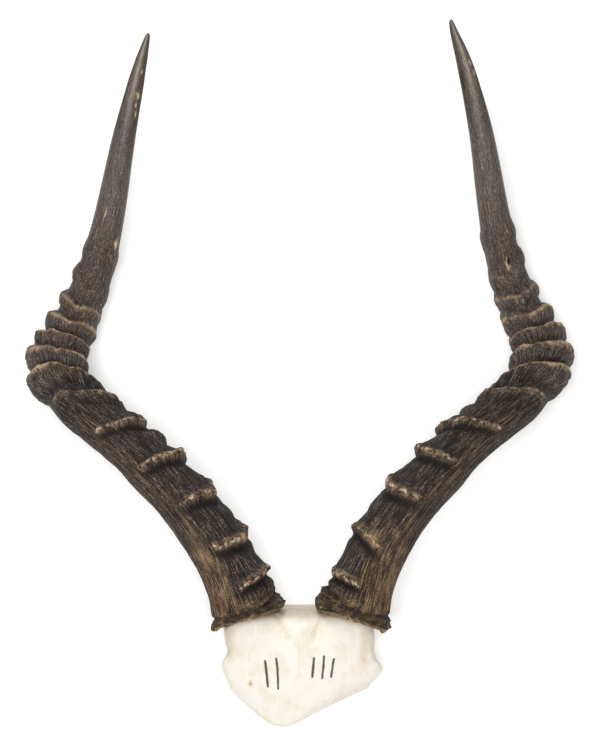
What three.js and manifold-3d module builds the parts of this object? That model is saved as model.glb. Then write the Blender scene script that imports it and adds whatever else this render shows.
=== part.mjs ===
// A pair of impala horns on the sawn skull plate that joins them, lying on a table.
// Millimetres, +Z up. The table is z = 0, +Y runs from the nose end to the horn tips.
// The origin is the middle of the whole object's footprint.
import * as THREE from "three";
import { mergeVertices } from "three/addons/utils/BufferGeometryUtils.js";
import Module from "manifold-3d";

const wasm = await Module();
wasm.setup();

// Driving dimensions.
const jointGap = 0.3; // between bone and horn sheath, end to end
const sideGap = 1.2; // between bone and the sheath's side
const hornBaseHalfWidth = 21.8;
const hornDepthRatio = 1.1; // front to back over side to side, at the base
const tipDepthRatio = 1.0;
const lipFlare = 4.2; // how far the sheath's rim stands out
const lipLength = 10;
const crestHeight = 58; // bone between the horns, above the saw cut
const noseHeight = 9; // thickness of the plate at its front point
const crestY = -189;
const crestBackY = -184; // behind this the bone drops steeply
const rearSlope = 2.9;
const noseY = -253;
const rearWallY = -166;
const browDrop = 13; // how much lower the brow ridges are than the midline
const browHalfWidth = 54;
const around = 24; // facets round a horn
const curveSteps = 1200; // for measuring along a horn's axis
const roomLength = 60; // how much of a horn the bone is kept clear of
const roomFacets = 32;
const outlineSteps = 54; // facets round the plate
const hollowFacets = 28;

// The axis of each horn from its base on the bone to its tip: up off the bone,
// out and down to the elbow that rests on the table, then in and up to the point.
const hornAxes = {
  horn_left: [
    [-35, -183, 38],
    [-49, -150, 50.5],
    [-67.5, -121, 57],
    [-90, -92.5, 57],
    [-116, -64.5, 50.5],
    [-145, -36.5, 39.5],
    [-166, -13, 29.5],
    [-172.5, 0, 25.5],
    [-175.5, 13.5, 22],
    [-173.5, 27.5, 18.3],
    [-163, 52, 16.3],
    [-153.5, 76, 19],
    [-143.5, 111, 28.5],
    [-129, 179.5, 56],
    [-111, 243.5, 90],
  ],
  horn_right: [
    [38, -182, 38],
    [51, -147.5, 51],
    [69, -117, 57.5],
    [92.5, -87.5, 57],
    [118.5, -58.5, 50.5],
    [148.5, -30, 38.5],
    [167, -7.5, 29.5],
    [173.5, 6, 25.5],
    [176, 20, 21.5],
    [173.5, 34, 18],
    [163.5, 59, 16.4],
    [155, 83, 20],
    [146, 118.5, 30.5],
    [133, 188, 59],
    [113, 252, 93.5],
  ],
};

// Half-width of the smooth horn at a share of its length.
const taper = [
  [0, 1],
  [0.14, 0.92],
  [0.29, 0.855],
  [0.435, 0.83],
  [0.525, 0.775],
  [0.63, 0.645],
  [0.7, 0.56],
  [0.775, 0.46],
  [0.85, 0.37],
  [0.925, 0.26],
  [0.965, 0.17],
  [0.99, 0.075],
  [1, 0.02],
];

// Each ring: distance from the base, height, length along the horn, how far its crest is
// turned from the front towards the outer side, in degrees, and how widely it wraps round.
const rings = [
  { at: 22, height: 4, length: 13, turn: -55, wrap: 0.8 },
  { at: 48, height: 5, length: 15, turn: -25, wrap: 0.6 },
  { at: 84, height: 5, length: 15, turn: -25, wrap: 0.6 },
  { at: 120, height: 5, length: 15, turn: -25, wrap: 0.6 },
  { at: 139, height: 2.2, length: 9, turn: -90, wrap: 0.4 },
  { at: 161, height: 4.6, length: 14, turn: -20, wrap: 0.7 },
  { at: 182, height: 2.2, length: 9, turn: -90, wrap: 0.4 },
  { at: 207, height: 4.2, length: 14, turn: -10, wrap: 0.8 },
  { at: 233, height: 6.8, length: 13, turn: 45, wrap: 1.4 },
  { at: 248.5, height: 6.5, length: 11, turn: 35, wrap: 1.6 },
  { at: 264.5, height: 5, length: 10, turn: 20, wrap: 1.8 },
  { at: 277, height: 4.2, length: 9, turn: 20, wrap: 2 },
  { at: 293, height: 4, length: 10, turn: 10, wrap: 2 },
  { at: 308, height: 3, length: 9, turn: 10, wrap: 2 },
  { at: 327, height: 2.5, length: 10, turn: 0, wrap: 2 },
  { at: 344, height: 1.8, length: 9, turn: -20, wrap: 2 },
];
const ringSteps = { high: [-0.5, -0.2, 0.2, 0.5], low: [-0.5, 0, 0.5] };
const lowRing = 2.5; // rings up to this height take the fewer steps
const stepsBelowRings = [0, 4, 10]; // distances from the base
const stepsAboveRings = [0.705, 0.74, 0.78, 0.82, 0.86, 0.9, 0.93, 0.955, 0.975, 0.99]; // shares

// The plate's edge seen from above, from the nose point round the right side.
const plateOutline = [
  [-8, -253.5],
  [10, -245],
  [32, -234],
  [47, -227],
  [56, -221],
  [59, -216],
  [55, -211],
  [53, -204],
  [54, -194],
  [51, -184],
  [40, -173],
  [22, -167],
  [0, rearWallY],
  [-22, -167],
  [-39, -173],
  [-50, -184],
  [-52, -195],
  [-50, -205],
  [-54, -214],
  [-48, -227],
  [-34, -241],
  [-19, -252],
];
const plateCentre = [0, -205];
const topRings = [0.985, 0.94, 0.86, 0.74, 0.58, 0.4, 0.2]; // shares of the way to the edge
const edgeRoundness = 12;
const leastEdge = 4; // upright edge of the plate above the saw cut

// Hollows under the plate, each the top half of an ellipsoid opening at the saw cut.
const hollows = [
  { centre: [0, -190], half: [30, 18, 42] }, // braincase
  { centre: [0, -227], half: [21, 13, 16] }, // root of the nose
  { centre: [60, -211], half: [25, 16, 20] }, // eye sockets
  { centre: [-58, -211], half: [25, 16, 20] },
  { centre: [60, -178], half: [22, 15, 13] }, // temples
  { centre: [-58, -178], half: [22, 15, 13] },
];

// Straight lines between the [place, value] pairs of a table.
function along(table, place) {
  const next = table.findIndex(([at]) => at >= place);
  if (next <= 0) return table[next < 0 ? table.length - 1 : 0][1];
  const [[a, low], [b, high]] = [table[next - 1], table[next]];
  return THREE.MathUtils.lerp(low, high, (place - a) / (b - a));
}

// A closed skin over rings of equal size, with a point at each end.
function closedSkin(loops, firstPoint, lastPoint) {
  const size = loops[0].length;
  const points = [firstPoint, ...loops.flat(), lastPoint];
  const last = points.length - 1;
  const faces = [];
  for (let i = 0; i < size; i++) {
    const j = (i + 1) % size;
    faces.push(0, 1 + j, 1 + i);
    for (let row = 0; row < loops.length - 1; row++) {
      const here = 1 + row * size;
      const above = here + size;
      faces.push(here + i, here + j, above + j, here + i, above + j, above + i);
    }
    const top = 1 + (loops.length - 1) * size;
    faces.push(top + i, top + j, last);
  }
  return new THREE.BufferGeometry().setFromPoints(points).setIndex(faces);
}

// The place, direction, front and outer side of a horn at a distance from its base.
function hornFrame(curve, share, side) {
  const place = curve.getPointAt(share);
  const forward = curve.getTangentAt(share);
  const outer = new THREE.Vector3().crossVectors(forward, new THREE.Vector3(0, 0, side)).normalize();
  const front = new THREE.Vector3().crossVectors(outer, forward).multiplyScalar(side);
  return { place, forward, outer, front };
}

// How far the rings lift the surface at a distance from the base and an angle from the front.
function ringLift(distance, angle) {
  let lift = 0;
  for (const { at, height, length, turn, wrap } of rings) {
    const off = Math.abs(distance - at) / (length / 2);
    if (off >= 1) continue;
    const facing = (1 + Math.cos(angle - THREE.MathUtils.degToRad(turn))) / 2;
    lift = Math.max(lift, height * (1 - off ** 3) * facing ** (1 / wrap));
  }
  return lift;
}

// A smooth curve through the points of a horn's axis.
function hornCurve(axis) {
  const points = axis.map((p) => new THREE.Vector3(...p));
  const curve = new THREE.CatmullRomCurve3(points, false, "centripetal");
  curve.arcLengthDivisions = curveSteps;
  return curve;
}

// One horn: oval sections along the axis, lifted where the rings cross them.
function horn(axis, side) {
  const curve = hornCurve(axis);
  const length = curve.getLength();
  const stations = [...stepsBelowRings];
  for (const ring of rings) {
    const steps = ring.height > lowRing ? ringSteps.high : ringSteps.low;
    for (const share of steps) stations.push(ring.at + share * ring.length);
  }
  for (const share of stepsAboveRings) stations.push(share * length);
  stations.sort((a, b) => a - b);
  const loops = stations.map((distance) => {
    const share = distance / length;
    const { place, outer, front } = hornFrame(curve, share, side);
    const ratio = THREE.MathUtils.lerp(hornDepthRatio, tipDepthRatio, Math.min(1, share * 2));
    const flare = lipFlare * Math.max(0, 1 - (distance / lipLength) ** 2);
    const half = hornBaseHalfWidth * along(taper, share) + flare;
    return Array.from({ length: around }, (_, i) => {
      const angle = side * (i / around) * Math.PI * 2;
      const lift = ringLift(distance, angle);
      return place
        .clone()
        .addScaledVector(front, (half * ratio + lift) * Math.cos(angle))
        .addScaledVector(outer, (half + lift) * Math.sin(angle));
    });
  });
  return closedSkin(loops, curve.getPointAt(0), curve.getPointAt(1));
}

// The space that a horn's base takes up, with the gap round it, for cutting the bone back.
function hornRoom(axis, side) {
  const { place, forward, outer, front } = hornFrame(hornCurve(axis), 0, side);
  const radius = hornBaseHalfWidth + lipFlare + sideGap;
  const tube = new THREE.CylinderGeometry(radius, radius, roomLength, roomFacets);
  tube.deleteAttribute("normal");
  tube.deleteAttribute("uv");
  return mergeVertices(tube)
    .scale(1, 1, (radius + hornBaseHalfWidth * (hornDepthRatio - 1)) / radius)
    .applyMatrix4(new THREE.Matrix4().makeBasis(outer, forward, front.clone().multiplyScalar(side)))
    .translate(...place.addScaledVector(forward, roomLength / 2 - jointGap).toArray());
}

// Height of the hollow over a place on the plate's outline, where it opens to the side.
function hollowHeight(x, y) {
  const heights = hollows.map(({ centre, half }) => {
    const out = ((x - centre[0]) / half[0]) ** 2 + ((y - centre[1]) / half[1]) ** 2;
    return half[2] * Math.sqrt(Math.max(0, 1 - out));
  });
  return Math.max(...heights);
}

// Height of the outside: a plane that climbs from the nose to the crest, lower at the
// brows, and drops steeply behind the crest.
function foreheadHeight(x, y) {
  const climb = THREE.MathUtils.clamp((y - noseY) / (crestY - noseY), 0, 1);
  const middle = THREE.MathUtils.lerp(noseHeight, crestHeight, climb);
  const brow = browDrop * climb ** 0.5 * Math.abs(x / browHalfWidth) ** 2.4;
  return middle - brow - rearSlope * Math.max(0, y - crestBackY);
}

// The skull plate before its hollows are cut: forehead above, flat saw cut below.
function plate() {
  const edge = new THREE.CatmullRomCurve3(
    plateOutline.map(([x, y]) => new THREE.Vector3(x, y, 0)),
    true,
    "centripetal",
  );
  const centre = new THREE.Vector3(...plateCentre, 0);
  const cut = Array.from({ length: outlineSteps }, (_, i) => edge.getPointAt(i / outlineSteps));
  const rim = cut.map((p) => p.clone().setZ(Math.max(leastEdge, hollowHeight(p.x, p.y))));
  const top = topRings.map((share) =>
    rim.map(({ x, y, z }) => {
      const p = centre.clone().lerp(new THREE.Vector3(x, y, 0), share);
      const round = (1 - share ** edgeRoundness) ** 0.4;
      return p.setZ(z + (foreheadHeight(p.x, p.y) - z) * round);
    }),
  );
  const above = centre.clone().setZ(foreheadHeight(centre.x, centre.y));
  return closedSkin([cut, rim, ...top], centre, above);
}

// One hollow as a whole ellipsoid about a point on the saw cut.
function hollow({ centre, half }) {
  const ball = new THREE.SphereGeometry(1, hollowFacets, hollowFacets / 2);
  ball.deleteAttribute("normal");
  ball.deleteAttribute("uv");
  return mergeVertices(ball)
    .rotateX(Math.PI / 2)
    .scale(...half)
    .translate(...centre, 0);
}

// A closed geometry as a manifold-3d solid, and a solid back as a geometry.
function toSolid(geometry) {
  const mesh = new wasm.Mesh({
    numProp: 3,
    vertProperties: geometry.attributes.position.array,
    triVerts: new Uint32Array(geometry.index.array),
  });
  return new wasm.Manifold(mesh);
}

function toGeometry(solid) {
  const { vertProperties, triVerts } = solid.getMesh();
  return new THREE.BufferGeometry()
    .setAttribute("position", new THREE.BufferAttribute(vertProperties, 3))
    .setIndex(new THREE.BufferAttribute(triVerts, 1));
}

// Each finish: dark keratin sheath and bleached bone.
const hornMaterial = new THREE.MeshStandardMaterial({ color: 0x4a3c32, roughness: 0.62, metalness: 0 });
const boneMaterial = new THREE.MeshStandardMaterial({ color: 0xf4f0e4, roughness: 0.55, metalness: 0 });

const group = new THREE.Group();
const sides = { horn_left: -1, horn_right: 1 };
let bone = toSolid(plate());
for (const place of hollows) bone = bone.subtract(toSolid(hollow(place)));
for (const [name, side] of Object.entries(sides)) {
  const mesh = new THREE.Mesh(horn(hornAxes[name], side), hornMaterial.clone());
  mesh.name = name;
  group.add(mesh);
  const room = hornRoom(hornAxes[name], side);
  bone = bone.subtract(toSolid(room));
}
const boneMesh = new THREE.Mesh(toGeometry(bone), boneMaterial);
boneMesh.name = "skull_plate";
group.add(boneMesh);

export default group;
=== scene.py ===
import math

import bpy
import numpy as np
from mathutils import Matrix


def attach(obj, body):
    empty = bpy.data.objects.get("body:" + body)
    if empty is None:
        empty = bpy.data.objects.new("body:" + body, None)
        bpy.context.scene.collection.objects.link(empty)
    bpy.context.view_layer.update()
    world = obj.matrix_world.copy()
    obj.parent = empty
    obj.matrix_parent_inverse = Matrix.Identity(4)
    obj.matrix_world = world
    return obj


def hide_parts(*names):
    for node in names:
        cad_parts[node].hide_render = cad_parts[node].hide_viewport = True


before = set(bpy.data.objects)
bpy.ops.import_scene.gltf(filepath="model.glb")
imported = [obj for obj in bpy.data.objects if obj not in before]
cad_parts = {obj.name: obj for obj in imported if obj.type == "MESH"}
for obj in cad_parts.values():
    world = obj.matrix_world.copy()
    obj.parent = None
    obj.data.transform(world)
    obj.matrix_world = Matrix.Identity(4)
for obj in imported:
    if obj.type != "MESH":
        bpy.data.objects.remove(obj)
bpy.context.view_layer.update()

mm = 0.001  # shapes are worked out in millimetres and written in metres
print("frame loaded:", ", ".join(sorted(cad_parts)))


def cellValue(i, j, k, seed):
    # A fixed number from 0 to 1 for each cell corner: indices and seed are multiplied by large odd
    # numbers and added, and their bits mixed by shifts and products.
    mask = np.uint64(0xFFFFFFFF)
    n = np.uint64(seed * 2654435761 % 4294967296)
    for part, by in ((i, 73856093), (j, 19349663), (k, 83492791)):
        n = (n + (part.astype(np.int64) & 0xFFFFFFFF).astype(np.uint64) * np.uint64(by)) & mask
    for shift, by in ((15, 2246822519), (13, 3266489917)):
        n = ((n ^ (n >> np.uint64(shift))) * np.uint64(by)) & mask
    return (n ^ (n >> np.uint64(16))).astype(float) / 4294967295


def noise(x, y, z, seed):
    # Value noise from -1 to 1: the eight corner values round a point are blended along each axis
    # with the smooth step 3t^2 - 2t^3.
    places = np.broadcast_arrays(x, y, z)
    cell = [np.floor(a) for a in places]
    t = [a - c for a, c in zip(places, cell)]
    t = [a * a * (3 - 2 * a) for a in t]
    total = 0.0
    for corner in np.ndindex(2, 2, 2):
        weight = 1.0
        for a, far in zip(t, corner):
            weight = weight * (a if far else 1 - a)
        total = total + weight * cellValue(*(c + far for c, far in zip(cell, corner)), seed)
    return 2 * total - 1


def roughNoise(x, y, z, seed, octaves=3):
    # Noise added to itself at twice the pace and half the height, octaves times.
    return sum(noise(x * 2**o, y * 2**o, z * 2**o, seed + o) / 2**o for o in range(octaves))


def smoothStep(low, high, value):
    # 0 below low, 1 above high, and 3t^2 - 2t^3 between them.
    t = np.clip((value - low) / (high - low), 0, 1)
    return t * t * (3 - 2 * t)


def bell(value, width):
    # 1 at zero, falling as exp(-(value / width)^2) on both sides.
    return np.exp(-((value / width) ** 2))


def curveThrough(points, closed=False, stepsPerSpan=100):
    # Centripetal Catmull-Rom curve: each span is a cubic whose end slopes weigh the spans beside it
    # by the square root of their lengths. Gives dense places and their distances along the curve.
    p = np.array(points, float)
    if closed:
        p = np.vstack([p[-1], p, p[0], p[1]])
    else:
        p = np.vstack([2 * p[0] - p[1], p, 2 * p[-1] - p[-2]])
    gap = np.linalg.norm(np.diff(p, axis=0), axis=1)[:, None] ** 0.5
    a, b, c, d = p[:-3], p[1:-2], p[2:-1], p[3:]
    before, here, after = gap[:-2], gap[1:-1], gap[2:]
    slopeB = ((b - a) / before - (c - a) / (before + here)) * here + (c - b)
    slopeC = ((d - c) / after - (d - b) / (here + after)) * here + (c - b)
    t = np.arange(stepsPerSpan)[None, :, None] / stepsPerSpan
    cubic = [2 * b - 2 * c + slopeB + slopeC, -3 * b + 3 * c - 2 * slopeB - slopeC, slopeB, b]
    places = sum(term[:, None] * t ** (3 - n) for n, term in enumerate(cubic)).reshape(-1, p.shape[1])
    places = np.vstack([places, p[-2]])
    steps = np.linalg.norm(np.diff(places, axis=0), axis=1)
    return places, np.concatenate([[0], np.cumsum(steps)])


def along(places, distances, s):
    # The places on a dense curve at the distances s, read off axis by axis.
    return np.stack([np.interp(s, distances, column) for column in places.T], -1)


def unit(v):
    return v / np.linalg.norm(v, axis=-1, keepdims=True)


def meanAlong(values, path, reach):
    # Mean of each column over a reach on both sides: the running total of value times step, read at
    # the two ends of the stretch and divided by the stretch.
    step = np.gradient(path)[:, None]
    total, travel = np.cumsum(values * step, axis=0), np.cumsum(step, axis=0)
    low = np.clip(np.searchsorted(path, path - reach) - 1, 0, len(path) - 1)
    high = np.clip(np.searchsorted(path, path + reach), 0, len(path) - 1)
    return (total[high] - total[low]) / (travel[high] - travel[low])


def closedGrid(name, rows, facts, material):
    # A mesh from a grid of points in millimetres: each row is a closed loop, a fan of triangles joins
    # the first and last rows to their middles, and facts are numbers or directions kept at each point.
    n, m = rows.shape[:2]
    points = np.vstack([rows.reshape(-1, 3), rows[0].mean(0), rows[-1].mean(0)])
    here = np.arange(n * m).reshape(n, m)
    beside = np.roll(here, -1, axis=1)
    quads = np.stack([here[:-1], beside[:-1], beside[1:], here[1:]], -1).reshape(-1, 4)
    fans = np.vstack([
        np.stack([beside[0], here[0], np.full(m, n * m)], -1),
        np.stack([here[-1], beside[-1], np.full(m, n * m + 1)], -1),
    ])
    a, b, c, d = (points[quads[:, corner]] for corner in range(4))
    volume = np.sum(np.cross(a, b) * c) + np.sum(np.cross(a, c) * d)
    a, b, c = (points[fans[:, corner]] for corner in range(3))
    volume = volume + np.sum(np.cross(a, b) * c)
    if volume < 0:  # the loops run the other way, so the faces are turned outwards
        quads, fans = quads[:, ::-1], fans[:, ::-1]
    mesh = bpy.data.meshes.new(name)
    mesh.vertices.add(len(points))
    mesh.vertices.foreach_set("co", (points * mm).ravel())
    corners = np.concatenate([quads.ravel(), fans.ravel()])
    counts = np.concatenate([np.full(len(quads), 4), np.full(len(fans), 3)])
    mesh.loops.add(len(corners))
    mesh.loops.foreach_set("vertex_index", corners.astype(np.int32))
    mesh.polygons.add(len(counts))
    mesh.polygons.foreach_set("loop_start", (np.cumsum(counts) - counts).astype(np.int32))
    mesh.polygons.foreach_set("use_smooth", np.ones(len(counts), bool))
    mesh.update(calc_edges=True)
    for fact, values in facts.items():
        kind, field = ("FLOAT_VECTOR", "vector") if values.ndim == 3 else ("FLOAT", "value")
        ends = np.vstack([values[end].reshape(m, -1).mean(0) for end in (0, -1)])
        attribute = mesh.attributes.new(fact, kind, "POINT")
        flat = np.vstack([values.reshape(n * m, -1), ends])
        attribute.data.foreach_set(field, flat.astype(np.float32).ravel())
    piece = bpy.data.objects.new(name, mesh)
    bpy.context.scene.collection.objects.link(piece)
    mesh.materials.append(material)
    print(f"{name}: {len(quads) * 2 + len(fans)} triangles")
    return piece


def linear(hexColour):
    # sRGB hex to linear: c / 12.92 up to 0.04045, and ((c + 0.055) / 1.055)^2.4 above it.
    channels = [int(hexColour[i:i + 2], 16) / 255 for i in (1, 3, 5)]
    return [c / 12.92 if c <= 0.04045 else ((c + 0.055) / 1.055) ** 2.4 for c in channels] + [1.0]


def addNode(tree, kind, settings, links, out=0):
    # Adds one node and gives its output. A setting is a property of the node where it has one of that
    # name, else an input; "stops" are the places and hex colours of a colour ramp.
    node = tree.nodes.new("ShaderNode" + kind)
    for key, value in settings.items():
        if key == "stops":
            for number, (place, colour) in enumerate(value):
                stop = node.color_ramp.elements[number] if number < 2 else node.color_ramp.elements.new(place)
                stop.position, stop.color = place, linear(colour)
        elif isinstance(key, str) and hasattr(node, key):
            setattr(node, key, value)
        else:
            node.inputs[key].default_value = linear(value) if isinstance(value, str) else value
    for key, socket in links.items():
        tree.links.new(socket, node.inputs[key])
    return node.outputs[out]


times, timesClamped = {"operation": "MULTIPLY"}, {"operation": "MULTIPLY", "use_clamp": True}
asColour = {"data_type": "RGBA"}


def newMaterial(name, settings):
    # A material with one Principled shader, whose uniform values are set on its own sockets.
    material = bpy.data.materials.new(name)
    material.use_nodes = True
    shader = material.node_tree.nodes["Principled BSDF"]
    for key, value in settings.items():
        shader.inputs[key].default_value = linear(value) if isinstance(value, str) else value
    return material, material.node_tree, shader


def keratinSheath():
    # Horn keratin, grown from the base in fibres and rings, then rubbed on trees and soil and left to
    # weather: dark grey-brown and matt, finely streaked along its length, warmer on the flanks, tan and
    # scuffed where the ring crests are worn, and layered at the lip. The crests' gilt edges are partly
    # painted highlight, and painted shade with some dirt darkens the hollows before the rings, the valleys,
    # cracks and creases. The tips are rubbed to a low gloss, smoother and greyer, with a painted highlight
    # down the front and painted shade along both sides.
    look = {
        "fibreMm": 0.5, "fibreRunMm": 10, "strandMm": 2.6, "strandRunMm": 50, "threadMm": 0.55,
        "threadRunMm": 45, "patchMm": 8, "flakeMm": 2.4, "grainMm": 0.6, "layerMm": 0.8, "layerRunMm": 12,
        "bumpMm": 0.35, "bumpStrength": 0.9, "polishedBump": 0.3, "mattRoughness": 0.8,
        "polishedRoughness": 0.24, "strandShare": 0.16, "grainShare": 0.36, "strayShare": 0.25,
        # the gilt colour is partly painted highlight on the crests' edges, and the near-black is painted
        # shade, with some dirt, in hollows, valleys, cracks and creases
        "threadShare": 1.8, "thread": "#b9965f", "giltAndHighlight": "#c8a67f", "hollowAndShade": "#120a05", "chip": "#d9bf96",
        "front": [(0.0, "#060504"), (0.3, "#15110f"), (0.55, "#2a2420"), (0.8, "#4a413a"), (1.0, "#857a6f")],
        "flank": [(0.0, "#0b0806"), (0.3, "#2a1c12"), (0.6, "#563a24"), (0.85, "#8a623b"), (1.0, "#c29a66")],
        "elbow": [(0.0, "#120f0d"), (0.4, "#372e28"), (0.75, "#62544a"), (1.0, "#b4a18a")],
        # the tip coat is a painted highlight, laid down the front of the upper horn and the tips
        "frontHighlight": [(0.0, "#47403b"), (0.4, "#7c736b"), (0.75, "#aaa197"), (1.0, "#e6e0d6")],
        "worn": [(0.0, "#1c120b"), (0.25, "#563b27"), (0.5, "#8c6f4f"), (0.75, "#b29f83"), (1.0, "#ded3bc")],
        "lip": [(0.0, "#0a0704"), (0.3, "#2a2117"), (0.6, "#514330"), (0.85, "#85704f"), (1.0, "#c4ab82")],
    }
    settings = {"IOR": 1.54, "Specular IOR Level": 0.26}
    material, tree, shader = newMaterial("horn keratin, grown and weathered", settings)
    straight = addNode(tree, "Attribute", {"attribute_name": "straight"}, {}, 1)
    facts = {
        name: addNode(tree, "Attribute", {"attribute_name": name}, {}, 2)
        for name in ("worn", "giltAndHighlight", "hollowAndShade", "flank", "elbow", "frontHighlight", "polish", "chip", "lip")
    }
    pattern = {}
    # each pattern is noise stretched along or round the horn, then spread until it fills 0 to 1
    for name, across, run, detail in (
        ("fibre", look["fibreMm"], look["fibreRunMm"], 1),
        ("strand", look["strandMm"], look["strandRunMm"], 2),
        ("thread", look["threadMm"], look["threadRunMm"], 0),
        ("patch", look["patchMm"], look["patchMm"] * 1.5, 4),
        ("flake", look["flakeMm"], look["flakeMm"], 3),
        ("grain", look["grainMm"], look["grainMm"] * 1.3, 2),
        ("layer", look["layerRunMm"], look["layerMm"], 3),
    ):
        scale = (1 / across, 1 / across, 1 / run)
        stretched = addNode(tree, "Mapping", {"Scale": scale}, {"Vector": straight})
        settings = {"Scale": 1.0, "Detail": detail, "Roughness": 0.6}
        raw = addNode(tree, "TexNoise", settings, {"Vector": stretched})
        pattern[name] = addNode(tree, "MapRange", {"From Min": 0.36, "From Max": 0.64}, {"Value": raw})

    # the patterns are mixed into streaks, speckles, layers and rubbed flakes, and each drives its coats
    fine = addNode(tree, "Mix", {0: look["strandShare"]}, {2: pattern["fibre"], 3: pattern["strand"]})
    streak = addNode(tree, "Mix", {0: look["grainShare"]}, {2: fine, 3: pattern["grain"]})
    streak = addNode(tree, "MapRange", {"From Min": 0.2, "From Max": 0.9}, {"Value": streak})
    speckled = addNode(tree, "Mix", {0: 0.45}, {2: pattern["grain"], 3: pattern["flake"]})
    speckled = addNode(tree, "Mix", {0: 0.5}, {2: speckled, 3: streak})
    layered = addNode(tree, "Mix", {0: 0.5}, {2: pattern["layer"], 3: pattern["flake"]})
    layered = addNode(tree, "Mix", {0: 0.3}, {2: layered, 3: pattern["grain"]})
    rubbed = addNode(tree, "Mix", {0: 0.35}, {2: pattern["flake"], 3: pattern["grain"]})
    rubbed = addNode(tree, "MapRange", {"From Min": 0.1, "From Max": 0.9}, {"Value": rubbed})
    coats = {
        name: addNode(tree, "ValToRGB", {"stops": look[name]}, {0: value})
        for name, value in (
            ("front", streak), ("flank", streak), ("elbow", speckled), ("frontHighlight", speckled),
            ("worn", rubbed), ("lip", layered),
        )
    }

    # the warm flank's coat strays a little into the dark front in patches, and threads make it ragged
    settings = {"From Min": 0.55, "From Max": 1.0, "To Max": look["strayShare"]}
    stray = addNode(tree, "MapRange", settings, {"Value": pattern["patch"]})
    share = addNode(tree, "Math", {"operation": "MAXIMUM"}, {0: stray, 1: facts["flank"]})
    ragged = addNode(tree, "MapRange", {"To Min": 0.45, "To Max": 1.25}, {"Value": pattern["thread"]})
    share = addNode(tree, "Math", timesClamped, {0: share, 1: ragged})
    colour = addNode(tree, "Mix", asColour, {0: share, 6: coats["front"], 7: coats["flank"]}, 2)
    # the elbow's coat, held back on the tips' sides as painted shade, then the tip coat as a painted
    # highlight down the front
    for fact in ("elbow", "frontHighlight"):
        colour = addNode(tree, "Mix", asColour, {0: facts[fact], 6: colour, 7: coats[fact]}, 2)

    # a few pale threads run on past several rings where the dark front meets the flank
    settings = {"From Min": 0.9, "From Max": 1.0, "To Max": look["threadShare"]}
    threads = addNode(tree, "MapRange", settings, {"Value": pattern["thread"]})
    threads = addNode(tree, "Math", times, {0: threads, 1: pattern["patch"]})
    notFlank = addNode(tree, "MapRange", {"To Min": 1.0, "To Max": 0.0}, {"Value": facts["flank"]})
    share = addNode(tree, "Math", times, {0: threads, 1: facts["flank"]})
    share = addNode(tree, "Math", timesClamped, {0: share, 1: notFlank})
    colour = addNode(tree, "Mix", {**asColour, 7: look["thread"]}, {0: share, 6: colour}, 2)
    colour = addNode(tree, "Mix", asColour, {0: facts["lip"], 6: colour, 7: coats["lip"]}, 2)

    # crests are rubbed through to tan, the dark fibres still stand in them and break their gilt edges, which
    # are partly painted highlight
    worn = addNode(tree, "MapRange", {"From Min": 0.0, "From Max": 0.45, "To Min": 0.85}, {"Value": streak})
    share = addNode(tree, "Math", times, {0: worn, 1: facts["worn"]})
    colour = addNode(tree, "Mix", asColour, {0: share, 6: colour, 7: coats["worn"]}, 2)
    broken = addNode(tree, "MapRange", {"From Min": 0.1, "From Max": 0.6, "To Min": 0.35}, {"Value": streak})
    share = addNode(tree, "Math", times, {0: broken, 1: facts["giltAndHighlight"]})
    colour = addNode(tree, "Mix", {**asColour, 7: look["giltAndHighlight"]}, {0: share, 6: colour}, 2)
    # painted shade, with some dirt, in the hollows, valleys, cracks and creases, then the pale chips
    for fact in ("hollowAndShade", "chip"):
        colour = addNode(tree, "Mix", {**asColour, 7: look[fact]}, {0: facts[fact], 6: colour}, 2)
    tree.links.new(colour, shader.inputs["Base Color"])

    # polish makes the horn glossier and its relief calmer
    settings = {"To Min": look["mattRoughness"], "To Max": look["polishedRoughness"]}
    gloss = addNode(tree, "MapRange", settings, {"Value": facts["polish"]})
    tree.links.new(gloss, shader.inputs["Roughness"])
    relief = addNode(tree, "Mix", {}, {0: facts["elbow"], 2: streak, 3: speckled})
    relief = addNode(tree, "Mix", {}, {0: facts["lip"], 2: relief, 3: layered})
    relief = addNode(tree, "Mix", {}, {0: facts["worn"], 2: relief, 3: rubbed})
    settings = {"To Min": 1.0, "To Max": look["polishedBump"]}
    calm = addNode(tree, "MapRange", settings, {"Value": facts["polish"]})
    relief = addNode(tree, "Math", times, {0: relief, 1: calm})
    settings = {"Strength": look["bumpStrength"], "Distance": look["bumpMm"] * mm}
    bump = addNode(tree, "Bump", settings, {"Height": relief})
    tree.links.new(bump, shader.inputs["Normal"])
    return material


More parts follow.
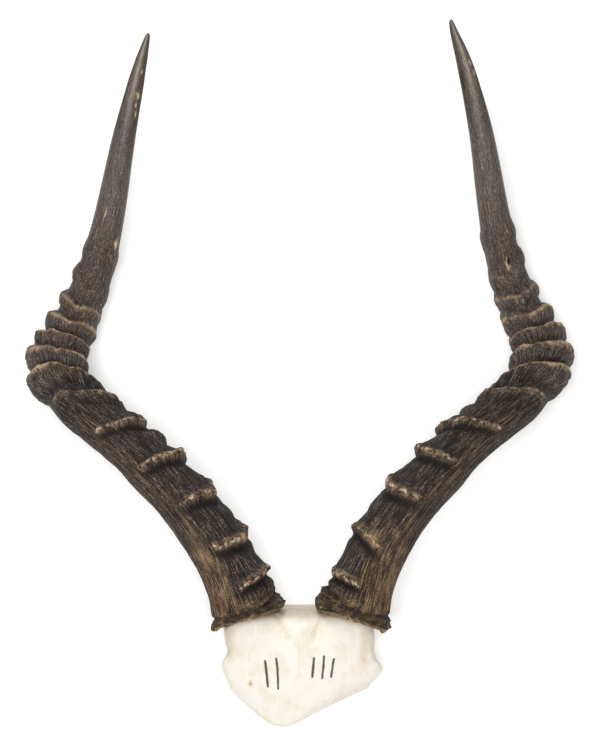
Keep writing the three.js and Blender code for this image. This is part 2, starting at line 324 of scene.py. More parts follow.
def bleachedBone():
    # Skull bone, boiled clean and bleached with peroxide: chalky ivory white and nearly matt, faintly
    # mottled and streaked, tan where fat and skin have stained it, and marked with felt pen.
    look = {
        "mottleMm": 14, "streakMm": 1.6, "streakRunMm": 22, "poreMm": 0.6, "penEdgeMm": 0.16, "bumpMm": 0.12,
        "bumpStrength": 0.4, "streakShare": 0.22, "inkShare": 0.9, "ink": "#141115",
        "bone": [(0.0, "#d7ccb8"), (0.35, "#ddd5c4"), (0.7, "#e0dacb"), (1.0, "#e4e0d5")],
        "stain": [(0.0, "#dcc898"), (0.5, "#c49a60"), (1.0, "#86592b")],
    }
    settings = {"IOR": 1.55, "Specular IOR Level": 0.25, "Roughness": 0.62}
    material, tree, shader = newMaterial("skull bone, boiled and bleached", settings)
    place = addNode(tree, "TexCoord", {}, {}, 3)
    stretch = {"Scale": (1 / look["streakMm"], 1 / look["streakRunMm"], 1 / look["streakRunMm"])}
    long = addNode(tree, "Mapping", stretch, {"Vector": place})
    settings = {"Scale": 1 / mm, "Detail": 3.0, "Roughness": 0.6}
    streak = addNode(tree, "TexNoise", settings, {"Vector": long})
    settings = {"Scale": 1 / (look["mottleMm"] * mm), "Detail": 5.0, "Roughness": 0.6}
    mottle = addNode(tree, "TexNoise", settings, {"Vector": place})
    both = addNode(tree, "Mix", {0: look["streakShare"]}, {2: mottle, 3: streak})
    spread = addNode(tree, "MapRange", {"From Min": 0.3, "From Max": 0.52}, {"Value": both})
    colour = addNode(tree, "ValToRGB", {"stops": look["bone"]}, {0: spread})
    stain = addNode(tree, "Attribute", {"attribute_name": "stain"}, {}, 2)
    stainColour = addNode(tree, "ValToRGB", {"stops": look["stain"]}, {0: stain})
    # stains soak deeper where the bone is darker
    uneven = addNode(tree, "MapRange", {"To Min": 1.25, "To Max": 0.7}, {"Value": spread})
    share = addNode(tree, "Math", timesClamped, {0: stain, 1: uneven})
    colour = addNode(tree, "Mix", asColour, {0: share, 6: colour, 7: stainColour}, 2)
    ink = addNode(tree, "Attribute", {"attribute_name": "ink"}, {}, 2)
    edge = look["penEdgeMm"]  # ink is the distance to the nearest stroke's edge, below 0 inside it
    settings = {"From Min": -edge, "From Max": edge, "To Min": look["inkShare"], "To Max": 0.0}
    inked = addNode(tree, "MapRange", settings, {"Value": ink})
    colour = addNode(tree, "Mix", {**asColour, 7: look["ink"]}, {0: inked, 6: colour}, 2)
    tree.links.new(colour, shader.inputs["Base Color"])
    pore = addNode(tree, "TexNoise", {"Scale": 1 / (look["poreMm"] * mm), "Detail": 3.0}, {"Vector": place})
    settings = {"Strength": look["bumpStrength"], "Distance": look["bumpMm"] * mm}
    bump = addNode(tree, "Bump", settings, {"Height": pore})
    tree.links.new(bump, shader.inputs["Normal"])
    return material


def driedSkin():
    # Scraps of skin and fat left at the horn rims, dried hard in air: orange-brown and crumbly, a
    # little glossier than the horn.
    look = {
        "lumpMm": 1.4, "bumpMm": 0.4, "bumpStrength": 0.7,
        "skin": [(0.3, "#2c1b0e"), (0.45, "#61411f"), (0.58, "#98703d"), (0.72, "#c9a86f")],
    }
    settings = {"IOR": 1.5, "Specular IOR Level": 0.4, "Roughness": 0.55}
    material, tree, shader = newMaterial("skin and fat, air dried", settings)
    place = addNode(tree, "TexCoord", {}, {}, 3)
    lumps = addNode(tree, "TexNoise", {"Scale": 1 / (look["lumpMm"] * mm), "Detail": 4.0}, {"Vector": place})
    colour = addNode(tree, "ValToRGB", {"stops": look["skin"]}, {0: lumps})
    tree.links.new(colour, shader.inputs["Base Color"])
    settings = {"Strength": look["bumpStrength"], "Distance": look["bumpMm"] * mm}
    bump = addNode(tree, "Bump", settings, {"Height": lumps})
    tree.links.new(bump, shader.inputs["Normal"])
    return material


# Both horns, with lengths in mm and angles in degrees round from the front to the outer side:
# axis is the line the middle follows, and shifts (distance, reach, how far) move it inwards;
# swell thickens the horn before its tip, and warm is where the flank's colour stops reaching the front;
# crests hold each ring's distance from the base at the front, its lean on the outer side and on the
# inner side, its curl on the outer side, its hook at the inner edge and its height;
# bulges are angle, distance, reach and height; rim is how far the lip reaches down and lip how tall it
# is, by angle; cracks are angle, from, to and half-width; scuffs are angle, distance, radius and
# strength; chips are angle, distance and radius; holes are angle and distance.
horns = {
    "left_horn_sheath": {
        "node": "horn_left", "side": -1, "seed": 11, "swell": 0.3, "warm": 8,
        "shifts": [(264, 22, 2.2), (325, 25, 0.4), (395, 45, 0.45), (487, 25, -0.5)],
        "axis": [
            (-35, -183, 38), (-49, -150, 50.5), (-67.5, -121, 57), (-90, -92.5, 57), (-116, -64.5, 50.5),
            (-145, -36.5, 39.5), (-166, -13, 29.5), (-172.5, 0, 25.5), (-175.5, 13.5, 22),
            (-173.5, 27.5, 18.3), (-163, 52, 16.3), (-153.5, 76, 19), (-143.5, 111, 28.5),
            (-129, 179.5, 56), (-110.3, 244.7, 90.6),
        ],
        "crests": [
            (22.5, -2, -2, 0, 2, 4.6), (51, 4, 4, 0, 7, 4.8), (67, 0, 0, 0, 0, 1.6), (85.5, 5, 5, 0, 11, 4.7),
            (120.3, 7, 5, 5, 3, 5.2), (140, 0, 0, 0, 0, 4.2), (161, 14, 12, 4, 10, 4.6),
            (199.5, 32, 17, -34, 0, 4.6), (230.5, 8.5, 28, 0, 0, 9.2), (244, 8.7, 9, 0, 0, 9.2),
            (259.8, 4.5, -1, 0, 0, 7.0), (275, 4.5, -8, 0, 0, 5.2), (290.5, 10.5, -5, 0, 0, 4.2),
            (307, 17, -3, 0, 0, 2.8), (332, 12, -4, 0, 0, 1.4),
        ],
        "bulges": [
            (90, 13, 6, 0.8), (90, 125, 16, 1.4), (90, 207, 13, 1.2), (-90, 19, 5, 1.6), (-90, 46, 5, 1.5),
            (-90, 55, 3, -0.8), (-90, 198, 5, -1.6), (-90, 230, 6, -1.0), (-90, 278, 5, 1.2),
            (-90, 344, 6, 0.6),
        ],
        "rim": [
            (-180, 0.8), (-95, 2.5), (-55, 2.2), (-10, 0.6), (25, -1.6), (50, -2.0), (70, -0.4), (95, 1.8),
        ],
        "lip": [(-180, 4.0), (-80, 9.0), (-45, 5.5), (-10, 3.8), (40, 4.2), (85, 6.5), (125, 5.0)],
        "cracks": [(-15, 25, 33, 1.2), (-31, 4, 13, 1.2), (-3, 20, 26, 1.0), (-50, 8, 20, 0.9)],
        "scuffs": [(30, 30, 9, 0.7), (44, 24, 4, 0.9), (42, 50, 6, 0.9), (30, 64, 7, 0.4), (52, 8, 5, 0.6)],
        "chips": [
            (-62, 351, 1.3), (8, 372, 0.6), (-51, 449, 0.8), (-43, 455, 0.7), (-47, 462, 1.0),
            (-38, 480, 0.5),
        ],
        "holes": [],
    },
    "right_horn_sheath": {
        "node": "horn_right", "side": 1, "seed": 47, "swell": 0.45, "warm": 40,
        "shifts": [
            (70, 60, -0.5), (268, 16, 0.8), (330, 25, 0.3), (420, 70, -0.25), (480, 24, -0.5), (510, 14, 0.9),
        ],
        "axis": [
            (38, -182, 38), (51, -147.5, 51), (69, -117, 57.5), (92.5, -87.5, 57), (118.5, -58.5, 50.5),
            (148.5, -30, 38.5), (167, -7.5, 29.5), (173.5, 6, 25.5), (176, 20, 21.5), (173.5, 34, 18),
            (163.5, 59, 16.4), (155, 83, 20), (146, 118.5, 30.5), (133, 188, 59), (112.4, 254, 94.5),
        ],
        "crests": [
            (22.3, -2, -2, 0, 0, 2.2), (49.5, -6, -6, 2, -1, 3.7), (73, 0, 0, 0, 0, 1.0),
            (87.5, 5.5, 4, 3, 10, 3.9), (121.5, 8, 6, 4, 7, 5.0), (168, 0, 0, 0, 0, 2.4),
            (157.5, 16, 13, 6, 1, 4.6), (199, 28, 20, -20, 8, 4.4), (227.5, 13, 27, 0, 0, 8.2),
            (244.6, 8.3, 7, 0, 0, 8.4), (259.5, 7.5, -6, 0, 0, 7.0), (276.5, 7, -11, 0, 0, 5.6),
            (296.5, 10, -8, 0, 0, 4.0), (315, 18, -6, 0, 0, 2.7), (343, 12, -6, 0, 0, 1.6),
        ],
        "bulges": [
            (90, 12, 6, 1.0), (90, 122, 12, 1.1), (90, 210, 16, 1.6), (-90, 12, 4, -0.8), (-90, 47, 4, 1.0),
            (-90, 56, 3, -0.8), (-90, 202, 5, -2.6), (-90, 225, 8, -0.4), (-90, 280, 5, 1.4),
            (-90, 354, 5, 0.7),
        ],
        "rim": [
            (-180, 0.8), (-100, 3.5), (-65, 5.0), (-25, 2.0), (25, 1.2), (60, 2.4), (85, 4.0), (115, 2.6),
        ],
        "lip": [(-180, 4.0), (-80, 15.0), (-50, 11.0), (-15, 5.5), (30, 4.6), (85, 8.0), (125, 5.0)],
        "cracks": [(-58, 40, 62, 0.9), (-24, 12, 21, 1.0), (12, 8, 15, 0.8), (-60, 463, 478, 2.6)],
        "scuffs": [(56, 32, 9, 0.6), (40, 52, 6, 0.9), (30, 66, 6, 0.6), (-12, 56, 7, 0.5), (30, 12, 5, 0.5)],
        "chips": [(40, 474, 0.8), (34, 482, 0.6)],
        "holes": [(4, 330)],
    },
}

# What both sheaths share: half-width at the base and its taper by share of the length, depth over width
# at the base and beyond the middle, spacing of the rows by distance, points round the horn, size of the
# fibres, depth of furrows, lumps and damage, flare of the base and how proud its lip stands, how far the
# inner side is drawn in (waist) and swells at the foot (height, distance, reach), where the elbow is, and
# how much painted shade the tip's sides get in coat and hollow, and how much polish they lose there.
sheath = {
    "halfWidth": 21.8, "baseDepthRatio": 1.1, "tipDepthRatio": 1.0,
    "taper": [
        (0, 1), (0.14, 0.92), (0.29, 0.855), (0.435, 0.83), (0.525, 0.765), (0.575, 0.675), (0.63, 0.615),
        (0.7, 0.54), (0.775, 0.455), (0.85, 0.37), (0.925, 0.265), (0.965, 0.18), (0.988, 0.11),
        (0.996, 0.075), (1, 0.02),
    ],
    "rowStep": [
        (0, 0.5), (14, 0.5), (17, 1.0), (250, 1.0), (352, 1.5), (362, 3.2), (444, 3.2), (448, 1.2),
        (486, 1.2), (492, 2.2), (499, 1.0), (520, 0.6),
    ],
    "around": 216, "patternRadius": 20, "fibreMm": 1.3, "fibreRunMm": 26, "fibreDepth": 0.2,
    "furrowDepth": 0.4, "lumpDepth": 0.22, "splitDepth": 1.1, "chipDepth": 0.4, "holeDepth": 1.6,
    "flare": 3.4, "flareRun": 11.0, "lipProud": 1.9, "grooveDepth": 1.1, "grooveWidth": 1.3,
    "waist": 1.6, "innerFoot": (1.7, 16, 6), "elbow": (205, 250), "cavityReach": 5.0,
    "shadedCoat": 0.85, "shadedHollow": 0.4, "shadedPolish": 0.6,
}

# What the rings of both horns share: rise towards the crest, fall beyond it, level stretch on the
# inner side, turn of the highest part to the outer side (degrees), wrap round the horn, angle where
# the bar stops (degrees), roll on top of the bar, how round it is, hollow before it (cut in, and painted
# dark as its shadow), wear, gilt edge (partly painted highlight).
# ringShape holds how far a crest line wanders and its height varies, how much lower the ring is past
# the bar's end, how wide its level top is, and where the roll lies and its half-width.
rings = [
    (3.0, 9, 3, -50, 0.8, 3, 1.7, 0.0, 2.4, 1.0, 0.3),
    (5.0, 11, 3, -40, 0.7, 15, 1.8, 0.0, 2.3, 1.0, 0.3),
    (5.0, 6, 1, -90, 0.35, 90, 0.0, 0.6, 0.0, 0.0, 0.0),
    (5.0, 12, 6, -40, 0.7, 22, 1.9, 0.0, 2.2, 1.0, 0.3),
    (4.5, 11, 3, -30, 0.7, 34, 2.0, 0.0, 2.0, 1.0, 0.3),
    (5.0, 6, 1, -90, 0.35, 90, 0.0, 0.5, 0.2, 0.0, 0.1),
    (4.5, 11, 6, -25, 0.8, 40, 1.8, 0.0, 1.8, 0.9, 0.3),
    (8.0, 7, 6, -5, 0.9, 58, 1.2, 0.5, 1.0, 0.5, 0.5),
    (13.0, 5, 3, 45, 1.2, 200, 0.8, 1.0, 0.3, 0.3, 1.0),
    (8.0, 5.5, 3, 45, 1.4, 200, 0.8, 1.0, 0.2, 0.25, 0.9),
    (6.5, 4.5, 3, 35, 1.6, 200, 0.6, 1.0, 0.1, 0.2, 0.8),
    (7.0, 6.5, 3, 25, 1.9, 200, 0.5, 1.0, 0.1, 0.2, 0.8),
    (7.0, 6, 2, 20, 1.9, 200, 0.4, 0.9, 0.1, 0.1, 0.6),
    (7.0, 7, 2, 20, 1.9, 200, 0.2, 0.9, 0.0, 0.05, 0.15),
    (7.0, 7, 2, 10, 2.0, 200, 0.0, 0.8, 0.0, 0.0, 0.0),
]
ringShape = {"wander": 1.1, "uneven": 0.24, "pastEnd": 0.82, "top": 0.8, "rollAt": 0.9, "rollHalf": 3.0}


def ringRelief(distance, angle, horn):
    # Lift of the rings, wear and gilding of their crests and depth of the hollows before them. Each
    # crest line is at + lean sin(a) + curl (1 - cos(a)), with a hook at the inner edge. Across it a
    # bar rises as a smooth step and falls as (1 - t)^1.5, a round lobe is (1 - t^2)^0.6 on both sides,
    # and a roll on the crest is sqrt(1 - t^2). Round the horn the ring fades as a power of
    # (1 + cos(a - turn)) / 2 and stops short at the bar's end. Wear is a bell on the crest, gilding, partly
    # painted highlight, is two thin bells beside a bar or one broader bell on a lobe, and the hollow is a
    # bell before the rise, cut into the shape and painted dark in colour as its shadow.
    lift, worn, giltAndHighlight, hollowAndShade = (np.zeros_like(distance) for _ in range(4))
    cosine, sine = np.cos(angle), np.sin(angle)
    inner = smoothStep(0.2, 1.0, -sine)
    degrees = np.degrees(angle)
    for number, (ring, crest) in enumerate(zip(rings, horn["crests"])):
        rise, fall, level, turn, wrap, barEnd, roll, roundness, depth, wear, giltAndGlint = ring
        at, leanOut, leanIn, curl, hook, height = crest
        seed = horn["seed"] + 10 * number
        outward, inward = np.maximum(sine, 0), np.maximum(-sine, 0)
        line = at + leanOut * outward - leanIn * inward + hook * smoothStep(0.7, 1.0, inward)
        line = line + np.where(sine > 0, curl * (1 - np.maximum(cosine, 0)), 0)
        wander = ringShape["wander"] * roughNoise(2.6 * cosine, 2.6 * sine, 0.5, seed, 4)
        off = distance - line - wander
        facing = ((1 + np.cos(angle - math.radians(turn))) / 2) ** (1 / wrap)
        past = smoothStep(barEnd - 6, barEnd + 7, degrees) * (1 - smoothStep(150, 180, degrees))
        facing = facing * (1 - ringShape["pastEnd"] * past)
        uneven = 1 + ringShape["uneven"] * roughNoise(3.7 * cosine, 3.7 * sine, distance / 6, seed + 3, 3)
        top = ringShape["top"] + level * inner
        t = np.clip(np.where(off < 0, -off / rise, (off - top) / fall), 0, 1)
        bar = np.where(off < 0, 1 - smoothStep(0, 1, t), (1 - t) ** 1.5)
        lobe = (1 - t * t) ** 0.6
        strong = smoothStep(0.35, 0.6, facing)
        wide = ringShape["rollHalf"] + 0.8 * roughNoise(4 * cosine, 4 * sine, 0.5, seed + 5, 3)
        ridge = np.sqrt(np.clip(1 - ((off - ringShape["rollAt"]) / wide) ** 2, 0, 1)) * strong
        height = height - 0.6 * roll
        shape = height * facing * (bar + (lobe - bar) * roundness) + roll * ridge
        lift = np.maximum(lift, uneven * shape)
        patchy = smoothStep(-0.6, 0.2, roughNoise(5 * cosine, 5 * sine, distance / 5, seed + 6, 2))
        patchy = 0.25 + 0.75 * patchy
        worn = np.maximum(worn, wear * strong * bell(off - ringShape["rollAt"], 2.3) ** 1.5 * patchy)
        # the gilt edges beside a bar or on a lobe: partly wear, partly painted highlight
        edges = bell(off - 3.7, 0.6) + 0.7 * bell(off + 2.0, 0.6)
        edges = edges + (bell(off - 2.0, 1.35) - edges) * roundness
        giltAndHighlight = np.maximum(giltAndHighlight, giltAndGlint * strong * patchy * edges)
        # the hollow before the rise: cut into the shape, and painted dark in colour as its shadow
        hollowAndShade = np.maximum(hollowAndShade, depth * facing * bell(off + rise + 0.6, 2.8))
    return lift, worn, np.clip(giltAndHighlight, 0, 1), hollowAndShade


def hornSheath(name, horn, material):
    # Place = axis(s) + front (half-depth + swell) cos(a) + outer (half-width + swell) sin(a)
    # - forward slide(a), with s the distance from the base, a the angle round from the front to the
    # outer side, and slide the rim's reach down the skull. Swell adds the rings' lift, lip, fibres,
    # bulges and crags, less hollows, waist and damage. Facts at each point drive the material.
    places, distances = curveThrough(horn["axis"])
    length, seed = distances[-1], horn["seed"]
    # rows that turn in under the base: distance up the horn and share of the size
    under = np.array([(5, 0.3), (5, 0.6), (4, 0.78), (2, 0.87), (0.5, 0.93), (-0.4, 0.97)])
    tick = 0.05
    ruler = np.arange(0, length, tick)
    count = np.cumsum(tick / np.interp(ruler, *zip(*sheath["rowStep"])))
    s = np.interp(np.arange(0.2, count[-1] - 0.3, 1.0), count, ruler)
    s = np.concatenate([under[:, 0], s, [length - 0.4]])
    shrink = np.ones_like(s)
    shrink[:len(under)] = under[:, 1]
    angle = 2 * math.pi * np.arange(sheath["around"]) / sheath["around"] - math.pi
    distance, a = np.meshgrid(s, angle, indexing="ij")
    cosine, sine, degrees = np.cos(a), np.sin(a), np.degrees(a)

    def rough(pace, run, number, octaves):  # noise that closes round the horn
        return roughNoise(pace * cosine, pace * sine, run, seed + number, octaves)

    def roundFrom(degree):  # how far a point lies round the horn from an angle
        return (degrees - degree) * math.pi / 180 * half

    forward = unit(along(places, distances, s + 1) - along(places, distances, s - 1))
    outer = unit(np.cross(forward, (0, 0, horn["side"])))
    front = horn["side"] * np.cross(outer, forward)
    shift = sum(inward * bell(s - at, wide) for at, wide, inward in horn["shifts"])
    centre = along(places, distances, s) - outer * shift[:, None]

    share = distance / length
    half = sheath["halfWidth"] * np.interp(share, *zip(*sheath["taper"]))
    half = half + horn["swell"] * smoothStep(0.7, 0.78, share) * (1 - smoothStep(0.93, 1, share))
    slimmer = sheath["tipDepthRatio"] - sheath["baseDepthRatio"]
    ratio = sheath["baseDepthRatio"] + slimmer * np.minimum(1, 2 * share)
    lift, worn, giltAndHighlight, hollowAndShade = ringRelief(distance, a, horn)
    inner = smoothStep(0.3, 1.0, -sine)

    # the lip: a cone that dies out up the horn, a roll whose height varies round it, a groove above it
    up = np.maximum(distance, 0)
    tall = np.interp(degrees, *zip(*horn["lip"]), period=360)
    tall = tall * (1 + 0.12 * rough(4, 0.5, 8, 2))
    roll = np.clip(1 - (2 * up / tall - 1) ** 2, 0, 1) ** 0.5
    groove = bell(up - tall - 1.0, sheath["grooveWidth"])
    lip = sheath["flare"] * np.exp(-((up / sheath["flareRun"]) ** 1.4)) - sheath["grooveDepth"] * groove
    footHeight, footAt, footReach = sheath["innerFoot"]
    lip = lip + sheath["lipProud"] * (0.6 + 0.09 * tall) * roll
    lip = lip + footHeight * inner * bell(up - footAt, footReach)
    onLip = 1 - smoothStep(tall - 0.5, tall + 3, up)
    nearRim = 1 - smoothStep(tall, tall + 9, up)
    growth = noise(1.6 * cosine, 1.6 * sine, up / 0.9, seed + 9)
    crags = rough(5, up / 3.0, 12, 3)
    layers = 0.9 * growth * onLip + 1.0 * crags * nearRim
    rim = np.interp(degrees, *zip(*horn["rim"]), period=360)
    ragged = 0.9 * rough(6, 0.5, 40, 3)
    slide = (rim + ragged) * np.clip(1 - up / 10, 0, 1)

    # fibres, and broad furrows between them
    fibre = rough(sheath["patternRadius"] / sheath["fibreMm"], distance / sheath["fibreRunMm"], 20, 2)
    furrow = rough(3.6, distance / 60, 30, 3)
    lump = rough(4.5, distance / 7, 35, 3)
    crust = rough(5.5, distance / 4, 37, 3)
    calm = (1 - 0.5 * smoothStep(0.4, 0.5, share)) * (1 - 0.7 * smoothStep(0.62, 0.76, share))
    near = np.minimum(1, half / 6) * calm
    grooves = sheath["fibreDepth"] * fibre * (1 - onLip) * (1 - 0.8 * worn)
    uneven = sheath["furrowDepth"] * furrow
    relief = near * (grooves + uneven + sheath["lumpDepth"] * lump + worn * crust)
    waist = sheath["waist"] * inner * smoothStep(85, 105, distance) * (1 - smoothStep(215, 235, distance))

    # splits that open along the fibres, scuffs rubbed pale on the flank, chips out of the edges, bulges
    split, scuff, chip, hole, bulge = (np.zeros_like(distance) for _ in range(5))
    for degree, low, high, wide in horn["cracks"]:
        bend = 1.6 * noise(distance / 5, 0.5, 0.5, seed + int(low))
        off = roundFrom(degree) - bend
        ends = smoothStep(low, low + 2, distance) * (1 - smoothStep(high - 2, high, distance))
        split = np.maximum(split, bell(off, wide * 0.55) * ends)
    for degree, at, radius, strength in horn["scuffs"]:
        off = np.hypot(roundFrom(degree), (distance - at) * 0.8)
        scuff = np.maximum(scuff, strength * bell(off, radius))
    scuff = scuff * smoothStep(-0.5, 0.4, rough(5, distance / 7, 50, 3))
    for degree, at, radius in horn["chips"]:
        off = np.hypot(roundFrom(degree), (distance - at) * 0.5)
        off = off * (1 + 0.7 * rough(14, distance / 1.6, 58, 2))
        chip = np.maximum(chip, bell(off, radius))
    for degree, at in horn["holes"]:  # a beetle's, gnawed along the fibres, with a pale edge below it
        beyond = distance - at
        slant = roundFrom(degree) - 0.25 * beyond
        gnawed = 1 + 0.4 * noise(distance / 2, 9 * sine, 0.5, seed + 55)
        off = np.hypot(slant / 1.2, beyond / 2.8) * gnawed
        hole = np.maximum(hole, 1 - smoothStep(0.6, 1.0, off))
        giltAndHighlight = np.maximum(giltAndHighlight, 0.9 * bell(off - 1.5, 0.6) * smoothStep(-1, 1.5, -slant - 0.4 * beyond))
    for degree, at, reach, high in horn["bulges"]:
        bulge = bulge + high * bell(np.hypot(roundFrom(degree) / 1.8, distance - at), reach)

    swell = lift - 0.5 * hollowAndShade + relief + lip + layers + bulge - waist
    swell = swell - sheath["splitDepth"] * split - sheath["chipDepth"] * chip - sheath["holeDepth"] * hole
    path = np.cumsum(np.abs(np.gradient(s)) + 0.01)
    # how far a point lies below what is round it along the horn, which paints shade, with some dirt, into the
    # valleys
    cavity = meanAlong(lift + relief, path, sheath["cavityReach"]) - lift - relief
    size = shrink[:, None, None]
    rows = (
        centre[:, None]
        + front[:, None] * ((half * ratio + swell) * cosine)[..., None] * size
        + outer[:, None] * ((half + swell) * sine)[..., None] * size
        - forward[:, None] * slide[..., None]
    )
    rows[..., 2] = np.maximum(rows[..., 2], 0)  # the elbows rest on the table
    # painted shade, with some dirt: dark in the hollows before the rings, the valleys, cracks, the beetle
    # hole, the lip's creases and the groove above the lip
    creases = smoothStep(0.1, 0.7, -layers) * 0.5 + 0.35 * smoothStep(-0.4, 0.5, crags) * onLip
    shadeAndDirt = 0.42 * hollowAndShade + 0.4 * smoothStep(0.2, 2.6, cavity) + split + hole + creases + 0.5 * groove
    fading = (1 - 0.8 * smoothStep(28, 72, distance)) * (1 - smoothStep(130, 200, distance))
    aboveLip = (1 - smoothStep(tall + 4, tall + 15, up)) * (1 - smoothStep(0.1, 0.7, sine))
    pastElbow = smoothStep(*sheath["elbow"], distance)
    # painted highlight: the smooth upper horn is a little paler down its front and the rubbed tip has a pale
    # stripe down its front; painted shade darkens the tip's sides
    upper = smoothStep(0.65, 0.77, share) * (1 - 0.7 * smoothStep(0.82, 0.92, share))
    highlightStripe = smoothStep(0.83, 0.98, share) * bell(sine, 0.23)
    paintedHighlight = (0.2 * upper * bell(sine, 0.9) + highlightStripe) * (cosine > 0)
    shaded = smoothStep(0.78, 0.92, share) * smoothStep(0.35, 0.8, np.abs(sine))
    warm = 0.5 * (1 - smoothStep(horn["warm"], horn["warm"] + 15, distance))
    straight = sheath["patternRadius"]
    facts = {
        "straight": np.stack([straight * cosine, straight * sine, distance], -1),
        "worn": np.clip(worn + 0.25 * nearRim * smoothStep(0.3, 0.9, lump), 0, 1),
        "giltAndHighlight": np.clip(giltAndHighlight + 0.5 * scuff + 0.5 * bell(up - 0.3, 0.8), 0, 1),
        "hollowAndShade": np.clip(shadeAndDirt + sheath["shadedHollow"] * shaded, 0, 1),
        "flank": smoothStep(0.2, 0.75, sine + warm) * fading,
        "lip": np.maximum(onLip, 0.75 * aboveLip),
        # the elbow coat is held back on the tips' sides as painted shade
        "elbow": (0.15 + 0.7 * pastElbow) * (1 - sheath["shadedCoat"] * shaded),
        "frontHighlight": paintedHighlight,
        "polish": 0.4 * pastElbow + 0.6 * smoothStep(0.55, 0.9, share) - sheath["shadedPolish"] * shaded,
        "chip": np.clip(chip + 0.06 * smoothStep(0.84, 0.97, share), 0, 1),
    }
    piece = closedGrid(name, rows, facts, material)
    print(f"{name}: {length:.0f} mm along its axis")
    return piece


plate = {
    "outline": [
        (-8, -253.5), (10, -245), (32, -234), (47, -227), (56, -221), (59, -216), (55, -211), (53, -204),
        (54, -194), (52, -184), (42, -173), (22, -167), (0, -166), (-22, -167), (-42, -173), (-52.5, -184),
        (-52, -195), (-50, -205), (-54, -214), (-48, -227), (-34, -241), (-19, -252),
    ],
    "centre": (0, -205), "around": 400, "topRows": 140, "underRows": 90,
    "noseY": -253, "noseHeight": 9, "crestY": -189, "crestHeight": 58, "crestBackY": -184, "rearSlope": 2.9,
    "browDrop": 13, "browHalfWidth": 54, "leastEdge": 4, "edgeRoundness": 22, "blend": 2.5, "round": 7.0,
    "hollows": [  # centre, half sizes: braincase, nose root, eye sockets, temples
        ((0, -190), (30, 18, 42)), ((0, -227), (21, 13, 16)), ((60, -211), (25, 16, 20)),
        ((-58, -211), (25, 16, 20)), ((60, -178), (22, 15, 13)), ((-58, -178), (22, 15, 13)),
    ],
    "swells": [  # centre, reach, height: hump on the midline, left brow, right brow, root of the nose
        ((4.3, -192.5), 4.5, 2.0), ((-49, -217), 7, 1.4), ((53, -219), 7, 1.6), ((0, -225), 14, 0.8),
    ],
    # from, to, half-width, depth, darker tan tint: two creases by the midline, a channel inside each brow, a
    # faint one inside each of those, and a scratch
    "furrows": [
        ((-15, -184.5), (-7, -201), 1.9, 1.3, 0.28), ((17, -184.5), (11, -200), 1.9, 1.2, 0.28),
        ((48.4, -193), (46.6, -211), 3.6, 1.8, 0.42), ((-48.8, -194), (-48.2, -212), 3.2, 1.3, 0.38),
        ((40, -197), (38.5, -208), 2.4, 0.5, 0.12), ((-40, -196), (-41, -212), 2.6, 0.5, 0.12),
        ((11, -238.7), (19.3, -238.9), 0.5, 0.1, 0.4),
    ],
    "pits": [  # place, radius, depth, stain: vessel hole, then stained specks
        ((-33.6, -228.2), 2.0, 1.0, 0.95), ((-32.2, -222.8), 0.8, 0.3, 0.45), ((36.4, -229), 0.9, 0.3, 0.45),
        ((-8.3, -196.8), 0.8, 0.4, 0.5), ((-41.7, -235.3), 0.8, 0.3, 0.8), ((-46.2, -230.8), 0.7, 0.3, 0.6),
    ],
    "suture": (0.7, -227, -201),  # x, from y, to y
    "sutureDepth": 0.25, "toothStain": 0.24, "sutureStain": 0.12, "rearStain": 0.34, "sawnStain": 0.3,
    "tally": [  # pen strokes, from and to: a plain tally of five
        ((-23.2, -214.6), (-21.6, -230.2)), ((-15.4, -213.4), (-14.2, -231.6)),
        ((10.6, -213.2), (9.4, -224.6)), ((17.3, -212.2), (16.6, -225.2)), ((24.4, -213.6), (23.0, -224.2)),
    ],
    "penHalfWidth": 0.85,
}


def segmentDistance(x, y, start, end):
    # Distance to a straight stroke: the point is dropped onto the stroke, held between its two ends.
    (x0, y0), (x1, y1) = start, end
    dx, dy = x1 - x0, y1 - y0
    t = np.clip(((x - x0) * dx + (y - y0) * dy) / (dx * dx + dy * dy), 0, 1)
    return np.hypot(x - x0 - t * dx, y - y0 - t * dy)


def baseFrame(horn):
    # The middle of a horn's base and three directions there: up the horn, to its outer side, to its front.
    places, distances = curveThrough(horn["axis"])
    forward = unit(along(places, distances, 1.0) - places[0])
    outer = unit(np.cross(forward, (0, 0, horn["side"])))
    return places[0], forward, outer, horn["side"] * np.cross(outer, forward)


def undersideHeight(x, y):
    # The largest of the ellipsoid caps h sqrt(1 - (dx/a)^2 - (dy/b)^2), and zero on the saw cut.
    height = np.zeros_like(x)
    for (cx, cy), (a, b, h) in plate["hollows"]:
        height = np.maximum(height, h * np.sqrt(np.clip(1 - ((x - cx) / a) ** 2 - ((y - cy) / b) ** 2, 0, 1)))
    return height


